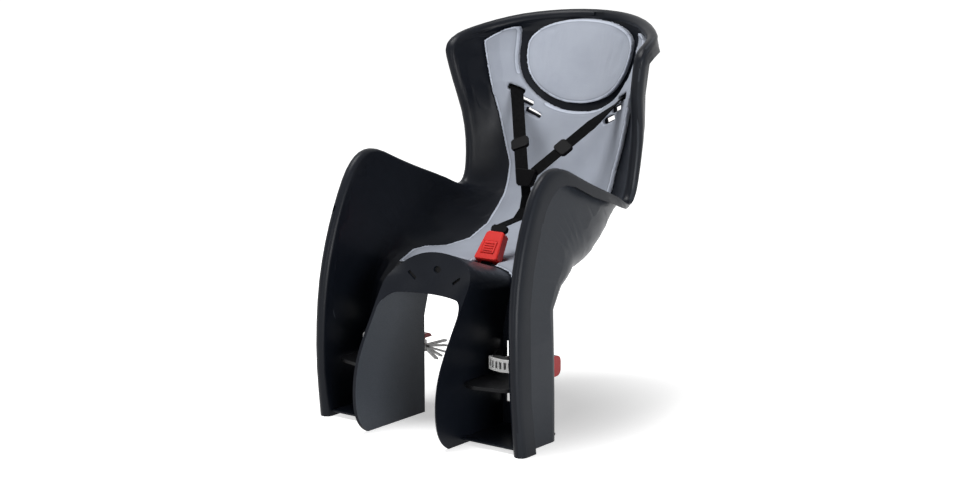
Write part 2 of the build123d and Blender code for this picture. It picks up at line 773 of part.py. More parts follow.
def make_footrest():
    back, face = guard_rear + wall, guard_rear - slide_gap
    outline = make_face(Polyline((tray_inner, tray_front), (tray_outer, tray_front + tray_slant),
                                 (tray_outer, face), (tray_inner, face), close=True))
    outline = fillet(outline.vertices().sort_by(Axis.Y)[:2], tray_nose)
    outline = chamfer(outline.vertices().sort_by(Axis.Y)[-2:], guard_corner_radius)
    top = tray_height + tray_thickness
    rest = extrude(Pos(0, 0, tray_height) * outline, amount=tray_thickness)
    left, right = neck_x - slide_half, neck_x + slide_half
    rest += box(left, right, guard_rear - slide_depth, face, tray_height, top + slide_rise)
    for x0, x1, y0 in (inner_post, outer_post):
        post = box(x0, x1, y0, y0 + post_length, top - 1, top + post_rise)
        rest += chamfer(post.edges().filter_by(Axis.X).group_by(Axis.Z)[-1], post_chamfer)
    half = neck_width / 2
    rest += box(neck_x - half, neck_x + half, guard_rear - cut_over, back + 2, neck_low, neck_top)
    rest += box(neck_x - hub_half, neck_x + hub_half, back + slide_gap, back + hub_depth, hub_low, hub_top)
    return rest - pin_hole(pin_radius, 2 * pin_length)


def make_lever():
    back = guard_rear + wall
    front, deep = back + lever_gap, back + lever_gap + lever_depth
    corners = (front, lever_top), (front, lever_low), (deep, lever_low), (deep, lever_top)
    profile = make_face(Polyline(*corners, close=True))
    profile = Plane.YZ * fillet(profile.vertices().sort_by(Axis.X)[-2:], lever_round)
    lever = Pos(lever_start, 0, 0) * extrude(profile, amount=lever_end - lever_start)
    wing = Pos(wing_start, 0, 0) * extrude(profile, amount=lever_start + wing_overlap - wing_start)
    lever += wing & box(0, cut_through, 0, cut_through, lever_top - wing_height, lever_top)
    for x0 in (neck_x - hub_half - ear_width, neck_x + hub_half + slide_gap):
        ear = box(x0, x0 + ear_width - slide_gap, back + ear_gap, front + ear_depth, ear_low, ear_top)
        lever += chamfer(ear.edges().filter_by(Axis.X).group_by(Axis.Z)[-1], ear_chamfer)
    return lever - pin_hole(pin_radius + pin_gap, 2 * pin_length)


# Route of the left foot strap from its tail behind the calf wall over the foot to the outer post
strap_loop = [(103, 92, 102), (103, 60, 115), (103, 30, 122), (103, 8, 124.5), (102.5, -8, 129),
              (103, -26, 134), (110, -44, 137), (124, -53, 138), (142, -56, 138), (160, -53, 138),
              (175, -44, 137), (182, -28, 136), (183, -10, 136)]


def make_foot_strap():
    strap = webbing([(Vector(*p), Vector(0, 0, 1)) for p in strap_loop], strap_height, strap_thickness)
    steps = [k * ladder_pitch for k in range(ladder_count)]
    return strap - [Pos(step, 0, 0) * Pos(*ladder_first) * Box(*ladder_window) for step in steps]


def export(part, name):
    """Writes a node with the centre of the carrier screws, under the pan, at the origin."""
    export_step(Pos(0, -screw_centre_y, wall - pan_height) * part, f"parts/{name}.step")


def export_pair(part, name):
    export(part, f"left_{name}")
    export(mirror(part, about=Plane.YZ), f"right_{name}")


shoulder_strap = make_shoulder_strap()
lower_strap = make_lower_strap()
export(make_shell(), "seat_shell")
export(make_back_cushion(), "back_cushion")
export(make_head_pad(), "head_pad")
export_pair(shoulder_strap, "shoulder_strap")
export_pair(make_slider(), "strap_slider")
export_pair(make_anchor(slot_at.offset(wall + anchor_gap)), "strap_anchor")
export(make_joiner([*pair(shoulder_strap), lower_strap]), "strap_joiner")
export(lower_strap, "lower_strap")
export(make_tongue(), "buckle_tongue")
export(make_buckle_body(), "buckle_body")
export(make_button(), "buckle_button")
export(make_crotch_strap(), "crotch_strap")
export(make_anchor(crotch_plane.offset(-crotch_anchor_gap)), "crotch_anchor")
export_pair(make_footrest(), "footrest")
export_pair(make_foot_strap(), "foot_strap")
export_pair(make_lever(), "lock_lever")
export_pair(pin_hole(pin_radius, pin_length), "lever_pin")
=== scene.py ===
import math
import bmesh
import bpy
from mathutils import Matrix, Vector, kdtree


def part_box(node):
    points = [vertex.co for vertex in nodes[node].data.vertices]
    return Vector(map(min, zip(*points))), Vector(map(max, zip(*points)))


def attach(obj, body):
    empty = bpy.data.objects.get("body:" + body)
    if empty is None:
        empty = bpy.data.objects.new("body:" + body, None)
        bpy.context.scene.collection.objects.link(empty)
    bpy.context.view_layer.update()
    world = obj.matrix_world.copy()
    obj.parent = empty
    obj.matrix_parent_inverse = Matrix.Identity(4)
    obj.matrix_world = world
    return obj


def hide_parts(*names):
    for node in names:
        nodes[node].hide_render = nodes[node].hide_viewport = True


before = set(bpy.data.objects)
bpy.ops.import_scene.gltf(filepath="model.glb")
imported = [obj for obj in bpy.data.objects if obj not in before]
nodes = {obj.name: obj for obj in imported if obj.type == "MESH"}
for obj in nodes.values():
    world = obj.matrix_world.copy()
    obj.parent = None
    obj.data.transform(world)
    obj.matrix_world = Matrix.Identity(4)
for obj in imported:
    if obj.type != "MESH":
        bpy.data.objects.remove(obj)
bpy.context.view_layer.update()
print("frame loaded:", len(nodes), "nodes")

solidCopy = {"merge": 0.00001, "flat": 0.5, "sharp": 30}  # metres, then degrees


def deselectAll():
    if bpy.context.object and bpy.context.object.mode != "OBJECT":
        bpy.ops.object.mode_set(mode="OBJECT")
    bpy.ops.object.select_all(action="DESELECT")


def pick(piece):
    deselectAll()
    piece.select_set(True)
    bpy.context.view_layer.objects.active = piece


def useMaterial(piece, material):
    piece.data.materials.clear()
    piece.data.materials.append(material)


def copyNode(nodeName, pieceName):
    source = nodes[nodeName]
    piece = source.copy()
    piece.data = source.data.copy()
    piece.name = pieceName
    piece.parent = None
    piece.matrix_world = Matrix.Identity(4)
    bpy.context.collection.objects.link(piece)
    pick(piece)
    bpy.ops.mesh.customdata_custom_splitnormals_clear()
    bpy.ops.object.mode_set(mode="EDIT")
    bpy.ops.mesh.select_all(action="SELECT")
    bpy.ops.mesh.remove_doubles(threshold=solidCopy["merge"])
    bpy.ops.object.mode_set(mode="OBJECT")
    return piece


def applyAll(piece):
    pick(piece)
    for modifier in list(piece.modifiers):
        bpy.ops.object.modifier_apply(modifier=modifier.name)


def addBlock(place, turn, size):
    # a block to start from, with its middle at the place
    deselectAll()
    bpy.ops.mesh.primitive_cube_add(size=1)
    block = bpy.context.object
    block.matrix_world = Matrix.Translation(place) @ turn @ Matrix.Diagonal((*size, 1))
    return block


def joinPieces(parts, pieceName):
    deselectAll()
    for part in parts:
        part.select_set(True)
    bpy.context.view_layer.objects.active = parts[0]
    bpy.ops.object.join()
    piece = bpy.context.object
    piece.name = pieceName
    bpy.ops.object.transform_apply(location=True, rotation=True, scale=True)
    return piece


def layOn(out, along):
    # the turn that lays x along a surface and z out of it
    side = out.cross(Vector(along)).normalized()
    return Matrix((side.cross(out), side, out)).transposed().to_4x4()


# Shader helpers: every finish is built from a few of these
def newMaterial(name, roughness, specular=0.5):
    material = bpy.data.materials.new(name)
    material.use_nodes = True
    tree = material.node_tree
    shader = tree.nodes["Principled BSDF"]
    shader.inputs["Roughness"].default_value = roughness
    shader.inputs["Specular IOR Level"].default_value = specular
    return material, tree, shader


def addNode(tree, kind, **values):
    node = tree.nodes.new(kind)
    for key, value in values.items():
        if hasattr(node, key):
            setattr(node, key, value)
        else:
            node.inputs[key].default_value = value
    return node


def objectCoords(tree, scale=(1, 1, 1)):
    coords = addNode(tree, "ShaderNodeTexCoord")
    mapping = addNode(tree, "ShaderNodeMapping")
    mapping.inputs["Scale"].default_value = scale
    tree.links.new(coords.outputs["Object"], mapping.inputs["Vector"])
    return mapping.outputs["Vector"]


def noise(tree, vector, scale, detail):
    node = addNode(tree, "ShaderNodeTexNoise", Scale=scale, Detail=detail)
    tree.links.new(vector, node.inputs["Vector"])
    return node.outputs["Fac"]


def ramp(tree, factor, stops):
    node = tree.nodes.new("ShaderNodeValToRGB")
    elements = node.color_ramp.elements
    while len(elements) < len(stops):
        elements.new(0.5)
    for element, (place, colour) in zip(elements, stops):
        element.position = place
        element.color = (*colour, 1)
    tree.links.new(factor, node.inputs["Fac"])
    return node.outputs["Color"]


def twoTone(tree, factor, look):
    # noise stays mostly between these two stops
    return ramp(tree, factor, [(0.3, look["dark"]), (0.7, look["light"])])


def spread(tree, factor, low, high, start=0.0, end=1.0):
    node = addNode(tree, "ShaderNodeMapRange")
    for socket, value in zip(("From Min", "From Max", "To Min", "To Max"), (start, end, low, high)):
        node.inputs[socket].default_value = value
    tree.links.new(factor, node.inputs["Value"])
    return node.outputs["Result"]


def bump(tree, shader, height, strength, distance, before=None):
    node = addNode(tree, "ShaderNodeBump", Strength=strength, Distance=distance)
    tree.links.new(height, node.inputs["Height"])
    if before:
        tree.links.new(before, node.inputs["Normal"])
    tree.links.new(node.outputs["Normal"], shader.inputs["Normal"])
    return node.outputs["Normal"]


# Moulded plastic: a fine spark-eroded grain, slight flow marks, and a roughness that varies a little
plasticGrain = {"flow": 9.0, "rub": 38.0, "rubShift": 0.07,
                "grain": 2400.0, "strength": 0.35, "depth": 0.00005}


def mouldedPlastic(name, look):
    rough, shift = look["rough"], plasticGrain["rubShift"]
    material, tree, shader = newMaterial(name, rough, look["gloss"])
    vector = objectCoords(tree)
    flow = noise(tree, vector, plasticGrain["flow"], 4.0)
    tree.links.new(twoTone(tree, flow, look), shader.inputs["Base Color"])
    rub = noise(tree, vector, plasticGrain["rub"], 5.0)
    tree.links.new(spread(tree, rub, rough - shift, rough + shift), shader.inputs["Roughness"])
    grain = noise(tree, vector, plasticGrain["grain"], 2.0)
    bump(tree, shader, grain, plasticGrain["strength"], plasticGrain["depth"])
    return material


shellFinish = mouldedPlastic("charcoalShell", {
    "dark": (0.0036, 0.0048, 0.0078), "light": (0.0056, 0.007, 0.0108), "rough": 0.36, "gloss": 0.13})
fittingFinish = mouldedPlastic("blackFitting", {
    "dark": (0.0016, 0.0016, 0.002), "light": (0.0028, 0.0028, 0.0034), "rough": 0.5, "gloss": 0.06})
trayFinish = mouldedPlastic("blackTray", {
    "dark": (0.0022, 0.0024, 0.003), "light": (0.004, 0.0042, 0.005), "rough": 0.44, "gloss": 0.14})
buckleFinish = mouldedPlastic("redBuckle", {
    "dark": (0.66, 0.018, 0.014), "light": (0.73, 0.026, 0.02), "rough": 0.34, "gloss": 0.3})
# the levers' red is darker than the buckle's: painted shade, for levers that sit back in the channels' shade
shadedLeverFinish = mouldedPlastic("shadedRedLever", {
    "dark": (0.3, 0.01, 0.012), "light": (0.36, 0.014, 0.016), "rough": 0.36, "gloss": 0.3})
rubberFinish = mouldedPlastic("whiteStrapRubber", {
    "dark": (0.84, 0.84, 0.83), "light": (0.9, 0.9, 0.89), "rough": 0.42, "gloss": 0.4})
# near black, darker than the shell: painted shade inside the pommel's slots and hole
slotShadeFinish = mouldedPlastic("slotPaintedShade", {
    "dark": (0.0015, 0.0015, 0.0018), "light": (0.0025, 0.0025, 0.003), "rough": 0.7, "gloss": 0.2})

# Outer panels and tunnel walls take a greyer colour, marked per face: partly a coarser eroded grain, partly
# painted light, lighter on faces that turn outwards and lightest on the tunnel walls
panelGrainAndLight = {"grain": 900.0, "dark": (0.034, 0.04, 0.05), "light": (0.056, 0.063, 0.075)}


def addGrainAndPaintedLight(material):
    tree = material.node_tree
    shader = tree.nodes["Principled BSDF"]
    satin = shader.inputs["Base Color"].links[0].from_socket
    mark = addNode(tree, "ShaderNodeAttribute", attribute_name="grainAndPaintedLight")
    coarse = noise(tree, objectCoords(tree), panelGrainAndLight["grain"], 3.0)
    grey = twoTone(tree, coarse, panelGrainAndLight)
    mix = addNode(tree, "ShaderNodeMix", data_type="RGBA")
    tree.links.new(mark.outputs["Fac"], mix.inputs["Factor"])
    tree.links.new(satin, mix.inputs["A"])
    tree.links.new(grey, mix.inputs["B"])
    tree.links.new(mix.outputs["Result"], shader.inputs["Base Color"])


addGrainAndPaintedLight(shellFinish)

# Turned steel of the lever pins, which lie along x
pinLook = {"rough": 0.32, "lines": (1600, 60, 60), "strength": 0.2, "depth": 0.00003,
           "dark": (0.42, 0.42, 0.43), "light": (0.58, 0.58, 0.59)}


def pinSteel():
    material, tree, shader = newMaterial("turnedPinSteel", pinLook["rough"])
    shader.inputs["Metallic"].default_value = 1.0
    lines = noise(tree, objectCoords(tree, pinLook["lines"]), 1.0, 2.0)
    tree.links.new(twoTone(tree, lines, pinLook), shader.inputs["Base Color"])
    bump(tree, shader, lines, pinLook["strength"], pinLook["depth"])
    return material


pinFinish = pinSteel()

# Woven belt: ribs in bands one above the other, with a finer weave over them
beltLook = {"rough": 0.8, "gloss": 0.03, "sheen": 0.01, "sheenRough": 0.5, "tint": 160.0,
            "dark": (0.0016, 0.0017, 0.002), "light": (0.0045, 0.0046, 0.005),
            "ribs": 260.0, "waver": 1.2, "ribDepth": 0.0003, "weave": 1300.0, "weaveDepth": 0.0002}


def wovenBelt():
    material, tree, shader = newMaterial("blackWebbing", beltLook["rough"], beltLook["gloss"])
    vector = objectCoords(tree)
    tint = noise(tree, vector, beltLook["tint"], 3.0)
    tree.links.new(twoTone(tree, tint, beltLook), shader.inputs["Base Color"])
    shader.inputs["Sheen Weight"].default_value = beltLook["sheen"]
    shader.inputs["Sheen Roughness"].default_value = beltLook["sheenRough"]
    ribs = addNode(tree, "ShaderNodeTexWave", wave_type="BANDS", bands_direction="Z",
                   Scale=beltLook["ribs"], Distortion=beltLook["waver"])
    tree.links.new(vector, ribs.inputs["Vector"])
    first = bump(tree, shader, ribs.outputs["Fac"], 0.5, beltLook["ribDepth"])
    weave = noise(tree, vector, beltLook["weave"], 2.0)
    bump(tree, shader, weave, 0.5, beltLook["weaveDepth"], first)
    return material


webFinish = wovenBelt()

# Pressed foam cover: blue-grey, lighter along the welded border, and a darker line inside it that paints the
# shade of the pressed-in step
coverLook = {"rough": 0.68, "gloss": 0.2, "sheen": 0.06, "sheenRough": 0.45, "blotch": 14.0,
             "dark": (0.3, 0.325, 0.38), "light": (0.34, 0.366, 0.422),
             "borderToneAndShade": [(0.0, 1.15), (0.12, 1.45), (0.16, 0.72), (0.24, 0.95), (0.5, 1.0)],
             "weave": 620.0, "weaveDepth": 0.0003, "dents": 60.0, "dentDepth": 0.0015}


def pressedCover():
    material, tree, shader = newMaterial("blueGreyCover", coverLook["rough"], coverLook["gloss"])
    vector = objectCoords(tree)
    mark = addNode(tree, "ShaderNodeAttribute", attribute_name="fromEdge")
    blotch = noise(tree, vector, coverLook["blotch"], 4.0)
    body = twoTone(tree, blotch, coverLook)
    stops = [(place, (tone, tone, tone)) for place, tone in coverLook["borderToneAndShade"]]
    # the border's lighter band, then a darker line of painted shade inside it
    borderAndShadeLine = ramp(tree, mark.outputs["Fac"], stops)
    mix = addNode(tree, "ShaderNodeMix", data_type="RGBA", blend_type="MULTIPLY")
    mix.inputs["Factor"].default_value = 1.0
    tree.links.new(body, mix.inputs["A"])
    tree.links.new(borderAndShadeLine, mix.inputs["B"])
    tree.links.new(mix.outputs["Result"], shader.inputs["Base Color"])
    shader.inputs["Sheen Weight"].default_value = coverLook["sheen"]
    shader.inputs["Sheen Roughness"].default_value = coverLook["sheenRough"]
    weave = addNode(tree, "ShaderNodeTexVoronoi", Scale=coverLook["weave"])
    tree.links.new(vector, weave.inputs["Vector"])
    first = bump(tree, shader, weave.outputs["Distance"], 0.35, coverLook["weaveDepth"])
    dents = noise(tree, vector, coverLook["dents"], 3.0)
    bump(tree, shader, dents, 0.15, coverLook["dentDepth"], first)
    return material


coverFinish = pressedCover()
print("finishes made")


# Rigid pieces: a merged copy of the solid, its edges broken, shaded smooth by angle
def breakEdges(piece, width, angle):
    pick(piece)
    bpy.ops.object.shade_smooth_by_angle(angle=math.radians(angle))
    bevel = piece.modifiers.new("edges", "BEVEL")
    bevel.width = width
    bevel.segments = 2
    bevel.limit_method = "ANGLE"
    bevel.angle_limit = math.radians(angle)
    bevel.harden_normals = True
    applyAll(piece)


def dressSolid(nodeName, pieceName, body, finish, edge):
    piece = copyNode(nodeName, pieceName)
    bpy.ops.object.mode_set(mode="EDIT")
    bpy.ops.mesh.select_all(action="SELECT")
    bpy.ops.mesh.dissolve_limited(angle_limit=math.radians(solidCopy["flat"]))
    bpy.ops.object.mode_set(mode="OBJECT")
    breakEdges(piece, edge, solidCopy["sharp"])
    useMaterial(piece, finish)
    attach(piece, body)
    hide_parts(nodeName)
    return piece


# Seat shell: rounded between the loft's sections, with small recesses cut in and its panels marked for their
# grain and painted light
shellForm = {"sharp": 42, "quadBend": 30, "quadSkew": 70, "calm": 14, "rounds": 8, "ease": 0.5}
channelRoom = {"size": (0.216, 0.06, 0.01), "y": -0.15}  # half width, half depth and top
# how much of the greyer grain and painted light each face takes: outer panels some, rims little, tunnel walls
# all
panelLightMarks = {"back": 0.2, "out": 0.5, "side": 0.15, "litPanelTone": 0.48,
              "pastWall": 0.006, "rimDepth": 0.026, "rimTone": 0.14,
              "in": 0.8, "tunnel": 0.088, "tunnelRoom": 0.004, "litTunnelTone": 1.0}
shellMarks = [  # a slot in the top rim and one mark in each armrest's rim
    {"near": (0.014, 0.286, 0.443), "along": (1, 0, 0), "size": (0.024, 0.0065, 0.006)},
    {"near": (-0.214, -0.236, 0.12), "along": (0, 0.35, 1), "size": (0.011, 0.006, 0.005)},
    {"near": (0.214, -0.166, 0.113), "along": (0, 0.35, 1), "size": (0.013, 0.006, 0.005)},
]
pommelHole = {"near": (0, -0.184, 0.021), "size": (0.0085, 0.0065, 0.008),
              "inner": 0.75, "outer": 1.15, "corners": 28}


def surfaceTurn(piece, near, along):
    # place on the surface nearest to a point, and the turn of what lies on it there
    place, normal = piece.closest_point_on_mesh(Vector(near))[1:3]
    return place, layOn(normal, along)


def cutFrom(piece, cutter):
    pick(cutter)
    bpy.ops.object.transform_apply(location=True, rotation=True, scale=True)
    cut = piece.modifiers.new("cut", "BOOLEAN")
    cut.operation = "DIFFERENCE"
    cut.solver = "EXACT"
    cut.object = cutter
    applyAll(piece)
    bpy.data.objects.remove(cutter)


def inChannel(point):
    # the walls that footrests and levers pass closely
    x, y, z = channelRoom["size"]
    return abs(point.x) < x and abs(point.y - channelRoom["y"]) < y and point.z < z


def roundSections(piece):
    # quads between the sections, sharp edges and the channels creased, then one level of subdivision
    pick(piece)
    bpy.ops.object.mode_set(mode="EDIT")
    bpy.ops.mesh.select_all(action="SELECT")
    bpy.ops.mesh.tris_convert_to_quads(face_threshold=math.radians(shellForm["quadBend"]),
                                       shape_threshold=math.radians(shellForm["quadSkew"]))
    bpy.ops.mesh.select_all(action="DESELECT")
    bpy.ops.mesh.edges_select_sharp(sharpness=math.radians(shellForm["sharp"]))
    bpy.ops.object.mode_set(mode="OBJECT")
    points = piece.data.vertices
    for edge in piece.data.edges:
        if all(inChannel(points[k].co) for k in edge.vertices):
            edge.select = True
    bpy.ops.object.mode_set(mode="EDIT")
    bpy.ops.transform.edge_crease(value=1.0)
    bpy.ops.object.mode_set(mode="OBJECT")
    finer = piece.modifiers.new("finer", "SUBSURF")
    finer.levels = finer.render_levels = 1
    applyAll(piece)


def evenWalls(piece):
    # evens out the broad walls and leaves rims, bends, cut edges and channels as they are
    group = piece.vertex_groups.new(name="walls")
    mesh = bmesh.new()
    mesh.from_mesh(piece.data)
    limit = math.radians(shellForm["calm"])
    calm = [v.index for v in mesh.verts if not inChannel(v.co)
            and all(e.calc_face_angle(math.tau) < limit for e in v.link_edges)]  # an open edge isn't calm
    mesh.free()
    group.add(calm, 1.0, "REPLACE")
    even = piece.modifiers.new("even", "SMOOTH")
    even.factor = shellForm["ease"]
    even.iterations = shellForm["rounds"]
    even.vertex_group = "walls"
    applyAll(piece)
    piece.vertex_groups.clear()


def markPanelGrainAndLight(piece):
    # outer faces of sides and back, and the tunnel walls, get the greyer grain with painted light, the tunnel
    # walls the most; a rim has more material close behind its face and keeps most of the dark satin
    marks = []
    for face in piece.data.polygons:
        side = math.copysign(1, face.center.x) * face.normal.x
        across = abs(face.center.x)
        tone = 0.0
        if face.normal.y > panelLightMarks["back"] or side > panelLightMarks["out"] and across > panelLightMarks["side"]:
            start = face.center - face.normal * panelLightMarks["pastWall"]
            rim = piece.ray_cast(start, -face.normal, distance=panelLightMarks["rimDepth"])[0]
            tone = panelLightMarks["rimTone"] if rim else panelLightMarks["litPanelTone"]
        if side < -panelLightMarks["in"] and abs(across - panelLightMarks["tunnel"]) < panelLightMarks["tunnelRoom"]:
            tone = panelLightMarks["litTunnelTone"]
        marks.append(tone)
    mark = piece.data.attributes.new("grainAndPaintedLight", "FLOAT", "FACE")
    mark.data.foreach_set("value", marks)


def makeShell():
    piece = copyNode("seat_shell", "seatShell")
    roundSections(piece)
    evenWalls(piece)
    for mark in shellMarks:
        place, turn = surfaceTurn(piece, mark["near"], mark["along"])
        cutFrom(piece, addBlock(place, turn, mark["size"]))
    place, turn = surfaceTurn(piece, pommelHole["near"], (1, 0, 0))
    bpy.ops.mesh.primitive_cone_add(vertices=pommelHole["corners"], radius1=pommelHole["inner"],
                                    radius2=pommelHole["outer"], depth=2)
    cutter = bpy.context.object
    cutter.matrix_world = Matrix.Translation(place) @ turn @ Matrix.Diagonal((*pommelHole["size"], 1))
    cutFrom(piece, cutter)
    markPanelGrainAndLight(piece)
    pick(piece)
    bpy.ops.object.shade_smooth_by_angle(angle=math.radians(shellForm["sharp"]))
    flat = piece.modifiers.new("flat", "WEIGHTED_NORMAL")
    flat.keep_sharp = True
    applyAll(piece)
    useMaterial(piece, shellFinish)
    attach(piece, "seat")
    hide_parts("seat_shell")
    return piece


seatShell = makeShell()
print("shell made:", len(seatShell.data.polygons), "faces")

# Node, piece, body, finish, slot and width of the broken edges
hardPieces = [
    ("left_strap_slider", "leftSlider", "left_slider", fittingFinish, "fitting", 0.0005),
    ("right_strap_slider", "rightSlider", "right_slider", fittingFinish, "fitting", 0.0005),
    ("left_strap_anchor", "leftAnchor", "seat", fittingFinish, "fitting", 0.0005),
    ("right_strap_anchor", "rightAnchor", "seat", fittingFinish, "fitting", 0.0005),
    ("crotch_anchor", "crotchAnchor", "seat", fittingFinish, "fitting", 0.0005),
    ("strap_joiner", "strapJoiner", "seat", fittingFinish, "fitting", 0.0008),
    ("buckle_tongue", "buckleTongue", "seat", fittingFinish, "fitting", 0.0006),
    ("buckle_body", "buckleBody", "seat", buckleFinish, "buckle", 0.0008),
    ("buckle_button", "buckleButton", "buckle_button", buckleFinish, "buckle", 0.0008),
    ("left_footrest", "leftFootrest", "left_footrest", trayFinish, "footrest", 0.001),
    ("right_footrest", "rightFootrest", "right_footrest", trayFinish, "footrest", 0.001),
    ("left_foot_strap", "leftFootStrap", "left_footrest", rubberFinish, "foot_strap", 0.0004),
    ("right_foot_strap", "rightFootStrap", "right_footrest", rubberFinish, "foot_strap", 0.0004),
    ("left_lock_lever", "leftLever", "left_lever", shadedLeverFinish, "lever", 0.0015),
    ("right_lock_lever", "rightLever", "right_lever", shadedLeverFinish, "lever", 0.0015),
    ("left_lever_pin", "leftPin", "left_footrest", pinFinish, "pin", 0.0004),
    ("right_lever_pin", "rightPin", "right_footrest", pinFinish, "pin", 0.0004),
    ("left_shoulder_strap", "leftShoulderStrap", "seat", webFinish, "webbing", 0.0004),
    ("right_shoulder_strap", "rightShoulderStrap", "seat", webFinish, "webbing", 0.0004),
    ("lower_strap", "lowerStrap", "seat", webFinish, "webbing", 0.0004),
    ("crotch_strap", "crotchStrap", "seat", webFinish, "webbing", 0.0004),
]
footBand = {"end": -0.086}  # the band ends at this y, where its slit tail begins


def endBand(piece):
    pick(piece)
    bpy.ops.object.mode_set(mode="EDIT")
    bpy.ops.mesh.select_all(action="SELECT")
    bpy.ops.mesh.bisect(plane_co=(0, footBand["end"], 0), plane_no=(0, 1, 0), use_fill=True, clear_outer=True)
    bpy.ops.object.mode_set(mode="OBJECT")


for nodeName, pieceName, body, finish, slot, edge in hardPieces:
    piece = dressSolid(nodeName, pieceName, body, finish, edge)
    if slot == "foot_strap":
        endBand(piece)
print("rigid pieces and webbing made")

# Tail of each foot strap: behind the calf wall it is slit into narrow tongues that fan out
fanTail = {"root": (0.103, -0.094, -0.148), "thick": 0.004, "wide": 0.008, "edge": 0.0005, "sharp": 40,
           "tips": [(-0.029, -0.15), (-0.028, -0.16), (-0.033, -0.171), (-0.043, -0.177), (-0.056, -0.18)]}


def makeFan(side, pieceName, body):
    x, y, z = fanTail["root"]
    root = Vector((side * x, y, z))
    tongues = []
    for tipY, tipZ in fanTail["tips"]:
        tip = Vector((side * x, tipY, tipZ))
        run = tip - root
        turn = run.to_track_quat("Y", "X").to_matrix().to_4x4()
        tongues.append(addBlock((root + tip) / 2, turn, (fanTail["thick"], run.length, fanTail["wide"])))
    piece = joinPieces(tongues, pieceName)
    breakEdges(piece, fanTail["edge"], fanTail["sharp"])
    useMaterial(piece, rubberFinish)
    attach(piece, body)


makeFan(1, "leftStrapFan", "left_footrest")
makeFan(-1, "rightStrapFan", "right_footrest")

# Cups behind the pommel's skin that close its two slots and its round hole, near black as painted shade
# inside them: x, z and turn of each
pommelCups = {"size": (0.036, 0.024, 0.012), "skin": 0.0042, "wall": 0.002, "probe": (0.013, 0.009),
              "before": -0.4, "places": [(-0.049, 0.007, 35), (0.049, 0.007, -35), (0, 0.021, 0)]}


def skinAt(x, z):
    # middle and outward direction of the pommel's front skin round an opening
    wide, high = pommelCups["probe"]
    hits = []
    for dx in (-wide, wide):
        for dz in (-high, high):
            hits.append(seatShell.ray_cast((x + dx, pommelCups["before"], z + dz), (0, 1, 0)))
    middle = sum((hit[1] for hit in hits), Vector()) / len(hits)
    return middle, sum((hit[2] for hit in hits), Vector()).normalized()


def makeCups():
    cups = []
    depth = pommelCups["size"][2]
    for x, z, turn in pommelCups["places"]:
        middle, out = skinAt(x, z)
        slope = math.radians(turn)
        facing = layOn(out, (math.cos(slope), 0, -math.sin(slope)))
        cup = addBlock(middle - out * (pommelCups["skin"] + depth / 2), facing, pommelCups["size"])
        bpy.ops.object.transform_apply(location=True, rotation=True, scale=True)
        for face in cup.data.polygons:
            face.select = face.normal.dot(out) > 0.9  # the open side
        hollow = out * (pommelCups["wall"] - depth)
        bpy.ops.object.mode_set(mode="EDIT")
        bpy.ops.mesh.inset(thickness=pommelCups["wall"])
        bpy.ops.mesh.extrude_region_move(TRANSFORM_OT_translate={"value": hollow})
        bpy.ops.object.mode_set(mode="OBJECT")
        cups.append(cup)
    piece = joinPieces(cups, "pommelCups")
    useMaterial(piece, slotShadeFinish)
    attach(piece, "seat")


makeCups()

# Ribs on the buckle's button, across its leaning face
buttonRibs = {"count": 4, "pitch": 0.0048, "size": (0.02, 0.0018, 0.003), "lift": 0.0036, "lean": 36,
              "edge": 0.0004, "sharp": 40}


def makeRibs():
    low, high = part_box("buckle_button")
    lean = math.radians(buttonRibs["lean"])
    up = Vector((0, math.sin(lean), math.cos(lean)))
    out = Vector((0, -math.cos(lean), math.sin(lean)))
    turn = Matrix(((1, 0, 0), up, out)).transposed().to_4x4()
    middle = (low + high) / 2 + out * buttonRibs["lift"]
    ribs = []
    for k in range(buttonRibs["count"]):
        place = middle + up * buttonRibs["pitch"] * (k - (buttonRibs["count"] - 1) / 2)
        ribs.append(addBlock(place, turn, buttonRibs["size"]))
    piece = joinPieces(ribs, "buttonRibs")
    breakEdges(piece, buttonRibs["edge"], buttonRibs["sharp"])
    useMaterial(piece, buckleFinish)
    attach(piece, "buckle_button")


makeRibs()
print("tails, cups and ribs made")

# Cushions: remeshed, swelled by a cloth run and pressed flat along the border
padRun = {"voxel": 0.0034, "evening": 2, "ease": 0.5, "pressure": 4.0, "frames": 20, "cap": 0.006,
          "hold": 0.006, "reach": 0.03, "border": 0.004, "press": 0.0012, "slotRoom": 0.03,
          "edgeBend": 50, "edgeStep": 0.002, "front": (-0.8, 0.6), "frontShare": 0.3}
slotMiddles = [(side * x, z) for x, z in ((0.088, 0.252), (0.107, 0.274), (0.126, 0.296)) for side in (-1, 1)]


def nearSlot(point):
    return any(math.hypot(point.x - x, point.z - z) < padRun["slotRoom"] for x, z in slotMiddles)


def isFront(normal):
    y, z = padRun["front"]
    return normal.y * y + normal.z * z > padRun["frontShare"]


def edgeTree(points):
    tree = kdtree.KDTree(len(points))
    for k, point in enumerate(points):
        tree.insert(point, k)
    tree.balance()
    return tree


def frontEdgePoints(piece):
    # points along the front sheet's outline, where a front face meets a side wall
    mesh = bmesh.new()
    mesh.from_mesh(piece.data)
    points = []
    for edge in mesh.edges:
        if len(edge.link_faces) == 2 and edge.calc_face_angle(0) > math.radians(padRun["edgeBend"]):
            if any(isFront(face.normal) for face in edge.link_faces):
                a, b = edge.verts[0].co, edge.verts[1].co
                count = max(2, int((a - b).length / padRun["edgeStep"]))
                points += [a.lerp(b, k / count) for k in range(count + 1)]
    mesh.free()
    return points


def evenSkin(piece, nodeName):
    # small even faces, laid back onto the solid without the steps of the voxels
    piece.data.remesh_voxel_size = padRun["voxel"]
    pick(piece)
    bpy.ops.object.voxel_remesh()
    even = piece.modifiers.new("even", "SMOOTH")
    even.factor = padRun["ease"]
    even.iterations = padRun["evening"]
    wrap = piece.modifiers.new("wrap", "SHRINKWRAP")
    wrap.target = nodes[nodeName]
    applyAll(piece)


